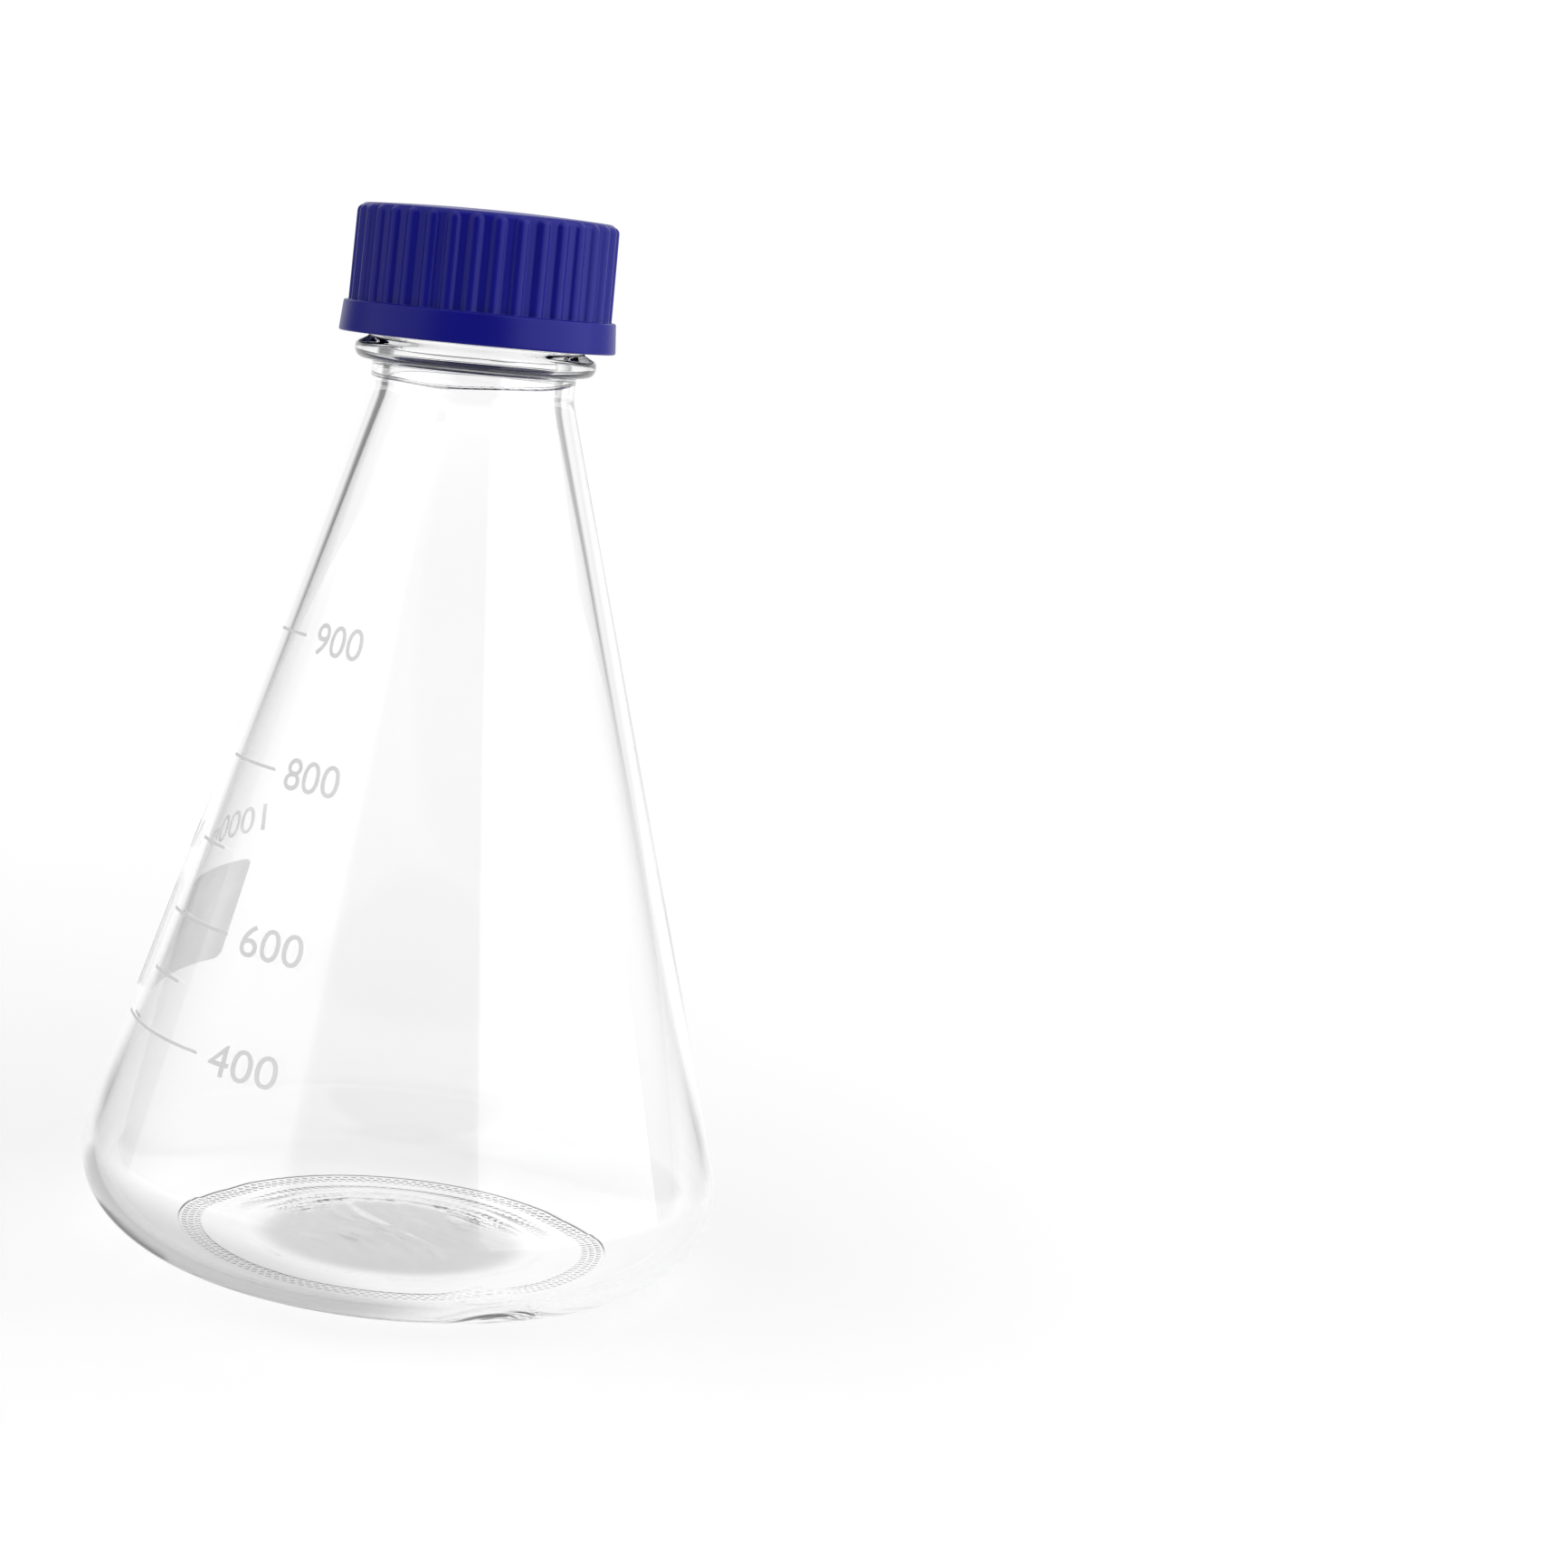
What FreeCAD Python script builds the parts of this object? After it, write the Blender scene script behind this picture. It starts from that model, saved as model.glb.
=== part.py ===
import FreeCAD, Part
import math
import os

# Conical laboratory flask of one litre with a ribbed screw cap, in millimetres.
# The origin is the centre of the base, on the surface that the flask stands on, and +Z is its axis.

# Glass body: base and cone
BODY_DIAMETER = 128.0        # outside, at the widest point
HEEL_REACH = 23.6            # how far the heel draws in from the widest point to the bearing ring
HEEL_RISE = 18.4             # height of the widest point
BODY_WALL = 2.6              # glass at the widest point
BASE_THICKNESS = 2.8         # glass over the middle of the push-up
EDGE_THICKNESS = 2.6         # glass over the bearing ring, where the inside is lowest
BEARING_RING_WIDTH = 4.0     # flat ring that carries the flask
BASE_RELIEF = 0.4            # how far the base inside that ring clears the bench
RELIEF_SLOPE = 0.6
PUSH_UP_HEIGHT = 1.8         # hollow under the middle of the base
PUSH_UP_DIAMETER = 51.0
PUSH_UP_STEP = 0.8           # the hollow's edge, before it rises as a dome
PUSH_UP_SLOPE = 1.0          # width of that edge
BASE_ROUNDING = 0.3

# Glass body: finish, and the neck and bead below it
FINISH_DIAMETER = 42.0       # core that carries the screw thread
FINISH_LENGTH = 21.8         # from the bead to the rim
FINISH_ROUNDING = 0.8
FINISH_WALL = 4.5
RIM_ROUNDING = 1.2
BEAD_REACH = 2.5             # how far the bead stands out from the finish
BEAD_HEIGHT = 3.2
BEAD_FOOT_ROUNDING = 1.95
BEAD_TOP_ROUNDING = 1.2
BEAD_TOP_SLOPE = 1.2         # rise of the bead's top towards the finish
NECK_INSET = 1.1             # how far the neck stands back from the finish
NECK_LENGTH = 4.8            # plain neck between the shoulder and the bead
SHOULDER_HEIGHT = 173.2      # where the cone meets the neck, outside
SHOULDER_ROUNDING = 3.0
BORE_FLARE_DROP = 1.0        # the bore starts to flare this far below the outside shoulder
BORE_FLARE_ROUNDING = 11.0

# Pouring ring, pressed into the mouth
RING_OVERHANG = 0.4          # its lip stands proud of the finish so that drops fall clear
RING_FLANGE = 1.2            # thickness over the rim
RING_WALL = 1.5
RING_SKIRT = 6.0             # depth inside the bore
RING_CLEARANCE = 0.15
RING_LIP_ROUNDING = 0.8
RING_EDGE_ROUNDING = 0.3

# Seal and screw cap
SEAL_THICKNESS = 2.0
SEAL_CLEARANCE = 0.3
SEAL_ROUNDING = 0.3
THREAD_ROOM = 2.2            # from the finish to the cap's bore, for the screw thread
CAP_WALL = 1.7               # from the bore to the valleys between the ribs
CAP_TOP = 2.2                # thickness of the top
CAP_TOP_ROUNDING = 1.2
CAP_CROWN = 0.8              # rise of the top from its edge to its middle
CROWN_LAND = 0.5             # level edge round the crown
CAP_DRAFT = 0.2              # taper of the grip, on the radius
CAP_BEAD_GAP = 1.8           # open gap between the cap's foot and the bead
RIB_COUNT = 36
RIB_WIDTH = 2.7
RIB_HEIGHT = 0.7
FLANGE_REACH = 1.4           # how far the flange's foot stands out from the ribs
FLANGE_HEIGHT = 6.0
FLANGE_DRAFT = 0.5           # taper of the flange, on the radius
FLANGE_ROUNDING = 0.4
ENTRY_CLEARANCE = 0.8        # the bore's wider entry at the foot, on the radius
ENTRY_DEPTH = 3.0
ENTRY_ROUNDING = 0.6

AXIS_POINT = FreeCAD.Vector(0, 0, 0)
AXIS = FreeCAD.Vector(0, 0, 1)

# Levels and radii that follow from the sizes above
BEARING_RADIUS = BODY_DIAMETER / 2 - HEEL_REACH
FINISH_RADIUS = FINISH_DIAMETER / 2
BORE_RADIUS = FINISH_RADIUS - FINISH_WALL
CAP_BORE_RADIUS = FINISH_RADIUS + THREAD_ROOM
VALLEY_RADIUS = CAP_BORE_RADIUS + CAP_WALL
FLOOR_HEIGHT = PUSH_UP_HEIGHT + BASE_THICKNESS
BEAD_FOOT = SHOULDER_HEIGHT + NECK_LENGTH
BEAD_TOP = BEAD_FOOT + BEAD_HEIGHT
RIM_HEIGHT = BEAD_TOP + FINISH_LENGTH
SEAL_FOOT = RIM_HEIGHT + RING_FLANGE
SEAL_TOP = SEAL_FOOT + SEAL_THICKNESS
CAP_HEIGHT = SEAL_TOP + CAP_TOP
CAP_FOOT = BEAD_TOP + CAP_BEAD_GAP
FLANGE_TOP = CAP_FOOT + FLANGE_HEIGHT


def at(radius, height):
    """A point of a profile in the XZ plane."""
    return FreeCAD.Vector(radius, 0, height)


def rounded_edges(corners):
    """Straight runs through (radius, height, rounding) corners, with a tangent arc at each inner corner."""
    points = [at(radius, height) for radius, height, _ in corners]
    edges = []
    start = points[0]
    for before, corner, after, (_, _, rounding) in zip(points, points[1:], points[2:], corners[1:]):
        if rounding == 0:
            edges.append(Part.makeLine(start, corner))
            start = corner
            continue
        back = (before - corner).normalize()
        ahead = (after - corner).normalize()
        half_angle = back.getAngle(ahead) / 2
        tangent_length = rounding / math.tan(half_angle)
        middle = corner + (back + ahead).normalize() * rounding * (1 / math.sin(half_angle) - 1)
        arc_start = corner + back * tangent_length
        arc_end = corner + ahead * tangent_length
        edges.append(Part.makeLine(start, arc_start))
        edges.append(Part.Arc(arc_start, middle, arc_end).toShape())
        start = arc_end
    edges.append(Part.makeLine(start, points[-1]))
    return edges


def revolved(edges):
    """The solid that a closed profile sweeps round the axis."""
    outline = Part.Wire(Part.__sortEdges__(edges))
    return Part.Face(outline).revolve(AXIS_POINT, AXIS, 360)


def heel(reach, rise, shoulder):
    """A quarter-ellipse heel, and the point where the straight cone up to the shoulder touches it.

    The ellipse is a circle flattened in height, so the touching point is found on that circle.
    """
    stretch = rise / reach
    out = shoulder.x - BEARING_RADIUS
    up = (shoulder.z - HEEL_RISE) / stretch
    turn = math.atan2(up, out) - math.acos(reach / math.hypot(up, out))

    def on_circle(angle):
        return at(reach * math.cos(angle), reach * math.sin(angle))

    lowest = -math.pi / 2
    arc = Part.Arc(on_circle(lowest), on_circle((lowest + turn) / 2), on_circle(turn)).toShape()
    flatten = FreeCAD.Matrix()
    flatten.scale(1, 1, stretch)
    flatten.move(at(BEARING_RADIUS, HEEL_RISE))
    return arc.transformGeometry(flatten), flatten.multVec(on_circle(turn))


def dome(height, edge):
    """An arc from a height on the axis down to a profile's edge point, level on the axis."""
    fall = height - edge.z
    curve = (edge.x ** 2 + fall ** 2) / (2 * fall)
    halfway = edge.x / 2
    middle = at(halfway, height - curve + math.sqrt(curve ** 2 - halfway ** 2))
    return Part.Arc(at(0, height), middle, edge).toShape()


def underside():
    """The dome and stepped edge of the push-up, the relieved flat round it, and the bearing ring."""
    hollow = PUSH_UP_DIAMETER / 2
    ring_inside = BEARING_RADIUS - BEARING_RING_WIDTH
    dome_edge = at(hollow - PUSH_UP_SLOPE, BASE_RELIEF + PUSH_UP_STEP)
    return [dome(PUSH_UP_HEIGHT, dome_edge)] + rounded_edges([
        (dome_edge.x, dome_edge.z, 0),
        (hollow, BASE_RELIEF, BASE_ROUNDING),
        (ring_inside - RELIEF_SLOPE, BASE_RELIEF, BASE_ROUNDING),
        (ring_inside, 0, BASE_ROUNDING),
        (BEARING_RADIUS, 0, 0),
    ])


def flask_body():
    """Base with a push-up, elliptical heel, straight cone, neck, bead and finish, all one revolved wall."""
    bead = FINISH_RADIUS + BEAD_REACH
    shoulder = at(FINISH_RADIUS - NECK_INSET, SHOULDER_HEIGHT)
    flare = at(BORE_RADIUS, SHOULDER_HEIGHT - BORE_FLARE_DROP)
    outer_heel, outer_touch = heel(HEEL_REACH, HEEL_RISE, shoulder)
    inner_heel, inner_touch = heel(HEEL_REACH - BODY_WALL, HEEL_RISE - EDGE_THICKNESS, flare)
    upper_wall = rounded_edges([
        (outer_touch.x, outer_touch.z, 0),
        (shoulder.x, shoulder.z, SHOULDER_ROUNDING),
        (shoulder.x, BEAD_FOOT, FINISH_ROUNDING),
        (bead, BEAD_FOOT, BEAD_FOOT_ROUNDING),
        (bead, BEAD_TOP, BEAD_TOP_ROUNDING),
        (FINISH_RADIUS, BEAD_TOP + BEAD_TOP_SLOPE, FINISH_ROUNDING),
        (FINISH_RADIUS, RIM_HEIGHT, RIM_ROUNDING),
        (BORE_RADIUS, RIM_HEIGHT, RIM_ROUNDING),
        (flare.x, flare.z, BORE_FLARE_ROUNDING),
        (inner_touch.x, inner_touch.z, 0),
    ])
    floor = dome(FLOOR_HEIGHT, at(BEARING_RADIUS, EDGE_THICKNESS))
    middle = Part.makeLine(at(0, FLOOR_HEIGHT), at(0, PUSH_UP_HEIGHT))
    return revolved(underside() + [outer_heel] + upper_wall + [inner_heel, floor, middle])


def pouring_ring():
    """A flange over the rim with a skirt inside the bore."""
    plug = BORE_RADIUS - RING_CLEARANCE
    inside = plug - RING_WALL
    lip = FINISH_RADIUS + RING_OVERHANG
    skirt_foot = RIM_HEIGHT - RING_SKIRT
    return revolved(rounded_edges([
        (plug, RIM_HEIGHT, 0),
        (lip, RIM_HEIGHT, RING_EDGE_ROUNDING),
        (lip, SEAL_FOOT, RING_EDGE_ROUNDING),
        (inside, SEAL_FOOT, RING_LIP_ROUNDING),
        (inside, skirt_foot, RING_EDGE_ROUNDING),
        (plug, skirt_foot, RING_EDGE_ROUNDING),
        (plug, RIM_HEIGHT, 0),
    ]))


def cap_seal():
    """A flat disc that fills the top of the cap."""
    edge = CAP_BORE_RADIUS - SEAL_CLEARANCE
    return revolved(rounded_edges([
        (0, SEAL_FOOT, 0),
        (edge, SEAL_FOOT, SEAL_ROUNDING),
        (edge, SEAL_TOP, SEAL_ROUNDING),
        (0, SEAL_TOP, 0),
        (0, SEAL_FOOT, 0),
    ]))


def ribbed_outline(valley_radius, height):
    """A closed outline of rounded ribs that stand on a circle, with valleys of that circle between them."""
    pitch = 2 * math.pi / RIB_COUNT
    half_width = RIB_WIDTH / 2 / valley_radius

    def on_circle(radius, angle):
        return FreeCAD.Vector(radius * math.cos(angle), radius * math.sin(angle), height)

    edges = []
    for number in range(RIB_COUNT):
        crest = (number + 0.5) * pitch
        rib_start = on_circle(valley_radius, crest - half_width)
        rib_crest = on_circle(valley_radius + RIB_HEIGHT, crest)
        rib_end = on_circle(valley_radius, crest + half_width)
        valley_middle = on_circle(valley_radius, crest + pitch / 2)
        next_start = on_circle(valley_radius, crest + pitch - half_width)
        edges.append(Part.Arc(rib_start, rib_crest, rib_end).toShape())
        edges.append(Part.Arc(rib_end, valley_middle, next_start).toShape())
    return Part.Wire(edges)


def screw_cap():
    """A ribbed grip with a rounded top edge and a low crown, on a slightly tapered flange, hollowed from below."""
    crest = VALLEY_RADIUS + RIB_HEIGHT
    flange = crest + FLANGE_REACH
    entry = CAP_BORE_RADIUS + ENTRY_CLEARANCE
    ribs = Part.makeLoft([
        ribbed_outline(VALLEY_RADIUS, FLANGE_TOP - FLANGE_ROUNDING),
        ribbed_outline(VALLEY_RADIUS - CAP_DRAFT, CAP_HEIGHT),
    ], True, True)
    grip_top = crest - CAP_DRAFT
    crown_edge = at(grip_top - CAP_TOP_ROUNDING - CROWN_LAND, CAP_HEIGHT - CAP_CROWN)
    top_edge = revolved(rounded_edges([
        (0, CAP_HEIGHT, 0),
        (0, CAP_FOOT, 0),
        (crest, CAP_FOOT, 0),
        (grip_top, CAP_HEIGHT - CAP_CROWN, CAP_TOP_ROUNDING),
        (crown_edge.x, crown_edge.z, 0),
    ]) + [dome(CAP_HEIGHT, crown_edge)])
    foot = revolved(rounded_edges([
        (0, CAP_FOOT, 0),
        (flange, CAP_FOOT, FLANGE_ROUNDING),
        (flange - FLANGE_DRAFT, FLANGE_TOP, FLANGE_ROUNDING),
        (0, FLANGE_TOP, 0),
        (0, CAP_FOOT, 0),
    ]))
    hollow = revolved(rounded_edges([
        (0, CAP_FOOT, 0),
        (entry, CAP_FOOT, 0),
        (entry, CAP_FOOT + ENTRY_DEPTH, ENTRY_ROUNDING),
        (CAP_BORE_RADIUS, CAP_FOOT + ENTRY_DEPTH + ENTRY_CLEARANCE, ENTRY_ROUNDING),
        (CAP_BORE_RADIUS, SEAL_TOP, 0),
        (0, SEAL_TOP, 0),
        (0, CAP_FOOT, 0),
    ]))
    return ribs.common(top_edge).fuse(foot).cut(hollow).removeSplitter()


os.makedirs("parts", exist_ok=True)
for piece in (flask_body, pouring_ring, cap_seal, screw_cap):
    shape = piece()
    print(piece.__name__, len(shape.Solids), "solid", shape.isValid(), round(shape.Volume / 1000, 2), "cm3")
    shape.exportStep(f"parts/{piece.__name__}.step")
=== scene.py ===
# %% [markdown]
# # A conical laboratory flask with a screw cap
#
# The flask is one piece of clear moulded glass with a printed scale. A ribbed blue cap screws onto its
# neck and presses a soft disc onto a pouring ring in the mouth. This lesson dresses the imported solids: it
# puts the camera where the photograph was taken from, works out each skin as a surface over two
# parameters, and gives each one its finish.

# %% Load the frame
import math

import bpy
import numpy as np
from mathutils import Matrix, Vector


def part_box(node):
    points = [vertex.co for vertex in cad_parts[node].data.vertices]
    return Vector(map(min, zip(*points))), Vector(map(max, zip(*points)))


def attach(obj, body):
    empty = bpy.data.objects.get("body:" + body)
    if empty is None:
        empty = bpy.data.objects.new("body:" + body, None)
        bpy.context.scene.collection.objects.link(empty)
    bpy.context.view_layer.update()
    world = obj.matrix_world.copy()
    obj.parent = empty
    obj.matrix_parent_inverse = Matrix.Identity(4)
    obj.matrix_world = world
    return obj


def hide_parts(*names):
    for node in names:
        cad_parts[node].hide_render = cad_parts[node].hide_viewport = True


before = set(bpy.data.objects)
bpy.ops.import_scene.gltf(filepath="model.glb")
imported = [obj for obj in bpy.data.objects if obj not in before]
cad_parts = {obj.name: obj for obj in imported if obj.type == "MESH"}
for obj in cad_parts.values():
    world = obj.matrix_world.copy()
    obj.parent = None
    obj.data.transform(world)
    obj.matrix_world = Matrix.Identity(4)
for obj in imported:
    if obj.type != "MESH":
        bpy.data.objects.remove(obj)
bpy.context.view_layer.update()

MM = 0.001

# %% [markdown]
# ## The camera
#
# The picture shows the flask from a little above, leaning clockwise and left of the middle. A camera
# could be turned aside to put it there, but that skews the rims, and in the photograph they lie square
# across the flask's axis, as in a picture that was taken straight on, then turned and placed. So the
# camera faces the flask, rolls about its view, and a lens shift moves the picture by what the framing
# needs.

# %% Place the camera
PHOTO_SIDE = 1733
FOCAL_PIXELS = 3559.5
SENSOR_WIDTH = 36
CAMERA_DISTANCE = 630 * MM
CAMERA_HEIGHT = 198 * MM
CAMERA_PITCH = math.radians(8.934)
CAMERA_ROLL = math.radians(5.45)
AIM_PIXEL = (482.3, 849.0)
NEAREST_SEEN = 10 * MM


def add_object(name, data):
    """An object with the given data, linked to the scene."""
    thing = bpy.data.objects.new(name, data)
    bpy.context.collection.objects.link(thing)
    return thing


lens = bpy.data.cameras.new("camera")
lens.sensor_width = SENSOR_WIDTH
lens.lens = SENSOR_WIDTH * FOCAL_PIXELS / PHOTO_SIDE
lens.shift_x = (PHOTO_SIDE / 2 - AIM_PIXEL[0]) / PHOTO_SIDE
lens.shift_y = (AIM_PIXEL[1] - PHOTO_SIDE / 2) / PHOTO_SIDE
lens.clip_start = NEAREST_SEEN
camera = add_object("camera", lens)
place = Matrix.Translation((0, -CAMERA_DISTANCE, CAMERA_HEIGHT))
tilt = Matrix.Rotation(math.pi / 2 - CAMERA_PITCH, 4, "X")
roll = Matrix.Rotation(CAMERA_ROLL, 4, "Z")
camera.matrix_world = place @ tilt @ roll
bpy.context.scene.camera = camera
print("lens", round(lens.lens, 2), "mm, shift", round(lens.shift_x, 3), round(lens.shift_y, 3))

# %% [markdown]
# ## Skins made of rings
#
# The glass, the cap, the ring and the seal are all round, so each is a stack of closed rings of points. A
# stack could come from the Spin or Screw modifier, but then nothing could vary round the axis, such as
# ribs, a thread or uneven glass. Here the points are arrays of rows and columns, and a band with fine
# detail may have more columns than its neighbours.

# %% Rings of points and the faces between them
def even_angles(columns):
    """Even angles round the axis, starting at the front."""
    return np.arange(columns) * 2 * np.pi / columns


def ring_points(radius, height, columns):
    """Rows of points round the axis: (r sin a, -r cos a, z) for even angles a."""
    radius, height, angle = np.broadcast_arrays(radius, height, even_angles(columns))
    return np.stack([radius * np.sin(angle), -radius * np.cos(angle), height], axis=-1)


def pole(height):
    """A single point on the axis, as a band of one row and one column."""
    return np.array([[[0.0, 0.0, height]]])


def grid_quads(index):
    """Four-sided faces between neighbouring rows and columns of a grid of point numbers."""
    corners = [index[:-1, :-1], index[:-1, 1:], index[1:, 1:], index[1:, :-1]]
    return np.stack(corners, axis=-1).reshape(-1, 4)


def band_quads(index):
    """The faces of a grid whose columns close round on themselves."""
    return grid_quads(np.concatenate([index, index[:, :1]], axis=1))


def seam_triangles(low, high):
    """Triangles between two rings, one of which has a whole number of points for each point of the other.

    Each short edge is joined to the nearer of the two coarse points beside it, and each long edge to the
    short point at its middle. A ring of one point is a pole and has no long edges.
    """
    upwards = len(low) < len(high)
    coarse, fine = (low, high) if upwards else (high, low)
    times = len(fine) // len(coarse)
    step = np.arange(len(fine))
    nearest = coarse[(2 * step + 1 + times) // (2 * times) % len(coarse)]
    faces = np.stack([fine, np.roll(fine, -1), nearest], axis=-1)
    if len(coarse) > 1:
        middle = fine[np.arange(len(coarse)) * times + times // 2]
        faces = np.concatenate([faces, np.stack([np.roll(coarse, -1), coarse, middle], axis=-1)])
    return faces[:, ::-1] if upwards else faces


def closed_skin(bands):
    """Points and faces of a stack of bands from pole to pole, each of rows, columns and coordinates."""
    points, faces, first = [], [], 0
    top_ring = None
    for band in bands:
        index = first + np.arange(band.shape[0] * band.shape[1]).reshape(band.shape[:2])
        if top_ring is not None:
            faces += seam_triangles(top_ring, index[0]).tolist()
        faces += band_quads(index).tolist()
        points.append(band.reshape(-1, 3))
        top_ring = index[-1]
        first += index.size
    return np.concatenate(points), faces


print("front, right, back and left of a ring:", ring_points(1, 0, 4).round(3).tolist())

# %% [markdown]
# ## The outline of the glass
#
# The flask is blown in a mould from one gob of glass: a pushed-up base, a soft heel, a straight cone, a
# neck with a bead, and a finish that carries the screw thread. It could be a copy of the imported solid,
# but that is all facets of one size. Here the same outline is walked once from the middle of the
# underside, over the rim, to the middle of the floor, with close rows where the shape turns and wide ones
# where it runs straight.

# %% Sizes of the glass, in millimetres
body_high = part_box("flask_body")[1]
BODY_RADIUS = body_high.x / MM
RIM_HEIGHT = body_high.z / MM
HEEL_REACH = 23.6
HEEL_RISE = 18.4
BODY_WALL = 2.6
BASE_THICKNESS = 2.8
PUSH_UP_HEIGHT = 1.8
PUSH_UP_RADIUS = 25.5
PUSH_UP_STEP = 0.8
PUSH_UP_SPREAD = 9.0
BASE_RELIEF = 0.4
RELIEF_SPREAD = 5.0
STEP_ROUNDING = 9.0
FLOOR_HEIGHT = PUSH_UP_HEIGHT + BASE_THICKNESS
FLOOR_EDGE_HEIGHT = 2.6
BEARING_RADIUS = BODY_RADIUS - HEEL_REACH
BEARING_RING_WIDTH = 4.0
SHOULDER = (19.9, 173.2)
SHOULDER_ROUNDING = 3.0
NECK_HEIGHT = 4.8
BORE_RADIUS = 16.5
FLARE_DROP = 1.0
FLARE = (BORE_RADIUS, SHOULDER[1] - FLARE_DROP)
FLARE_ROUNDING = 11.0
BEAD_RADIUS = 23.5
BEAD_FOOT = SHOULDER[1] + NECK_HEIGHT
BEAD_TOP = BEAD_FOOT + 3.2
BEAD_LOW_ROUNDING = 1.95
BEAD_HIGH_ROUNDING = 1.2
BEAD_TOP_SLOPE = 1.2
FINISH_RADIUS = 21.0
FINISH_ROUNDING = 0.8
RIM_ROUNDING = 1.2
KNURL_INSIDE = 38.7
KNURL_OUTSIDE = 44.3
BORE_LINE = 176.0
BORE_LINE_SPREAD = 1.8
MIDDLE_RADIUS = 1.5
print("glass", round(2 * BODY_RADIUS, 1), "mm across,", round(RIM_HEIGHT, 1), "mm tall")

# %% Where the heel meets the cone
HEEL_ROWS = 28
INNER_HEEL_ROWS = 32


def heel_turns(reach, rise, corner):
    """Where on a heel's ellipse the straight cone from a corner touches it.

    The ellipse is stretched back to a circle of radius reach. Seen from its middle, the touching point lies
    acos(reach / distance) short of the direction to the corner.
    """
    up = (corner[1] - HEEL_RISE) * reach / rise
    out = corner[0] - BEARING_RADIUS
    return math.atan2(up, out) - math.acos(reach / math.hypot(up, out))


def heel_rows(reach, rise, turns):
    """Points (bearing radius + reach cos t, heel height + rise sin t) for the given turns t."""
    return np.stack([BEARING_RADIUS + reach * np.cos(turns), HEEL_RISE + rise * np.sin(turns)], axis=-1)


knurl_edge = -math.acos((KNURL_OUTSIDE - BEARING_RADIUS) / HEEL_REACH)
outer_touch = heel_turns(HEEL_REACH, HEEL_RISE, SHOULDER)
heel_outside = heel_rows(HEEL_REACH, HEEL_RISE, np.linspace(knurl_edge, outer_touch, HEEL_ROWS))
inner_reach = HEEL_REACH - BODY_WALL
inner_rise = HEEL_RISE - FLOOR_EDGE_HEIGHT
inner_touch = heel_turns(inner_reach, inner_rise, FLARE)
heel_inside = heel_rows(inner_reach, inner_rise, np.linspace(inner_touch, -math.pi / 2, INNER_HEEL_ROWS))
print("heel meets cone at", heel_outside[-1].round(2), "outside,", heel_inside[0].round(2), "inside")

# %% Outlines with rounded corners
ARC_STEP = math.radians(12)
LEAST_ARC_STEPS = 3


def rounded_profile(corners):
    """Points along straight runs through (radius, height, rounding, step) corners.

    The run to a corner is divided into lengths of about that corner's step. An inner corner with a rounding
    becomes a tangent arc: centre + (start - centre) cos t + rounding * heading * sin t, with t from zero to
    the turn.
    """
    places = [np.array(corner[:2], float) for corner in corners]
    rows = [places[0][None]]
    for number in range(1, len(corners)):
        corner = places[number]
        rounding, step = corners[number][2:]
        heading = corner - places[number - 1]
        heading = heading / np.linalg.norm(heading)
        run_end, arcs = corner, []
        if rounding:
            onward = places[number + 1] - corner
            onward = onward / np.linalg.norm(onward)
            turn = math.acos(np.clip(heading @ onward, -1, 1))
            run_end = corner - heading * rounding * math.tan(turn / 2)
            inward = (onward - heading) / np.linalg.norm(onward - heading)
            centre = corner + inward * rounding / math.cos(turn / 2)
            steps = max(LEAST_ARC_STEPS, math.ceil(turn / ARC_STEP))
            sweep = np.linspace(0, turn, steps + 1)[1:, None]
            arcs = [centre + (run_end - centre) * np.cos(sweep) + rounding * heading * np.sin(sweep)]
        run_start = rows[-1][-1]
        count = max(1, math.ceil(np.linalg.norm(run_end - run_start) / step))
        rows += [run_start + (run_end - run_start) * np.linspace(0, 1, count + 1)[1:, None], *arcs]
    return np.concatenate(rows)


square = rounded_profile([(0, 0, 0, 1), (2, 0, 1, 1), (2, 2, 0, 1)])
print("a rounded square corner has", len(square), "rows")

# %% Underside, outside and inside
DOME_ROWS = 10
FLOOR_ROWS = 24

ring_inside = BEARING_RADIUS - BEARING_RING_WIDTH
dome_edge = PUSH_UP_RADIUS - PUSH_UP_SPREAD / 2
dome_foot = BASE_RELIEF + PUSH_UP_STEP
dome_radius = np.linspace(MIDDLE_RADIUS, dome_edge, DOME_ROWS)
dome_rise = (PUSH_UP_HEIGHT - dome_foot) * (1 - (dome_radius / dome_edge) ** 2)
dome_rows = np.stack([dome_radius, dome_foot + dome_rise], axis=-1)
relief_rows = rounded_profile([
    (dome_edge, dome_foot, 0, 1),
    (dome_edge + PUSH_UP_SPREAD, BASE_RELIEF, STEP_ROUNDING, 1),
    (ring_inside - RELIEF_SPREAD, BASE_RELIEF, STEP_ROUNDING, 3),
    (ring_inside, 0, STEP_ROUNDING, 1),
    (KNURL_INSIDE, 0, 0, 1.5),
])
underside_rows = np.concatenate([dome_rows, relief_rows[1:]])
rim_middle = (BORE_RADIUS + FINISH_RADIUS) / 2
wall_outside = rounded_profile([
    (*heel_outside[-1], 0, 1),
    (*SHOULDER, SHOULDER_ROUNDING, 5),
    (SHOULDER[0], BEAD_FOOT, FINISH_ROUNDING, 1),
    (BEAD_RADIUS, BEAD_FOOT, BEAD_LOW_ROUNDING, 1),
    (BEAD_RADIUS, BEAD_TOP, BEAD_HIGH_ROUNDING, 1),
    (FINISH_RADIUS, BEAD_TOP + BEAD_TOP_SLOPE, FINISH_ROUNDING, 1),
    (FINISH_RADIUS, RIM_HEIGHT, RIM_ROUNDING, 0.46),
    (rim_middle, RIM_HEIGHT, 0, 1),
])
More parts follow.
